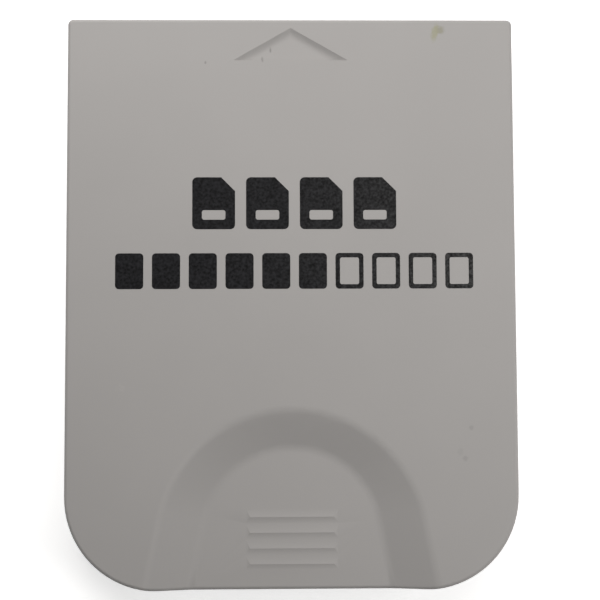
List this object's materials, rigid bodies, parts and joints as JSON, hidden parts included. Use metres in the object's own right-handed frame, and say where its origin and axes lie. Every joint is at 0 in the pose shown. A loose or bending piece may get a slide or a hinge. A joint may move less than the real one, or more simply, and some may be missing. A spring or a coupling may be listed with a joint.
{
  "type": "console memory card",
  "caption": "Flat console memory card with a moulded case, an insertion arrow, a ribbed thumb recess at one end and a recessed edge connector at the other.",
  "frame": {"origin": "middle of the rear face, which the card lies on", "axes": "+X across the card, +Y towards the slot end that goes into the console, +Z out of the front face"},
  "size_m": [0.042, 0.0534, 0.008],
  "materials": {
    "shell_plastic": "fine matte moulded plastic, warm light grey",
    "board_laminate": "green solder mask on glass-epoxy board",
    "contact_gold": "gold plate",
    "chip_epoxy": "black moulded epoxy",
    "tinned_metal": "tin plate",
    "capacitor_ceramic": "fired, tan",
    "resistor_ceramic": "black glaze over ceramic",
    "screw_steel": "zinc plate"
  },
  "bodies": {
    "root": {"front_shell": "shell_plastic", "rear_shell": "shell_plastic", "circuit_board": "board_laminate", "controller_chip": "chip_epoxy", "flash_memory_chip": "chip_epoxy", "controller_chip_leads": "tinned_metal", "flash_memory_chip_leads": "tinned_metal", "capacitor_terminals": "tinned_metal", "resistor_terminals": "tinned_metal", "case_screw": "screw_steel", "contact_1": "contact_gold", "contact_2": "contact_gold", "contact_3": "contact_gold", "contact_4": "contact_gold", "contact_5": "contact_gold", "contact_6": "contact_gold", "contact_7": "contact_gold", "contact_8": "contact_gold", "contact_9": "contact_gold", "contact_10": "contact_gold", "contact_11": "contact_gold", "contact_12": "contact_gold", "capacitor_1": "capacitor_ceramic", "resistor_1": "resistor_ceramic", "capacitor_2": "capacitor_ceramic", "resistor_2": "resistor_ceramic", "capacitor_3": "capacitor_ceramic", "resistor_3": "resistor_ceramic", "capacitor_4": "capacitor_ceramic", "resistor_4": "resistor_ceramic"}
  },
  "joints": []
}
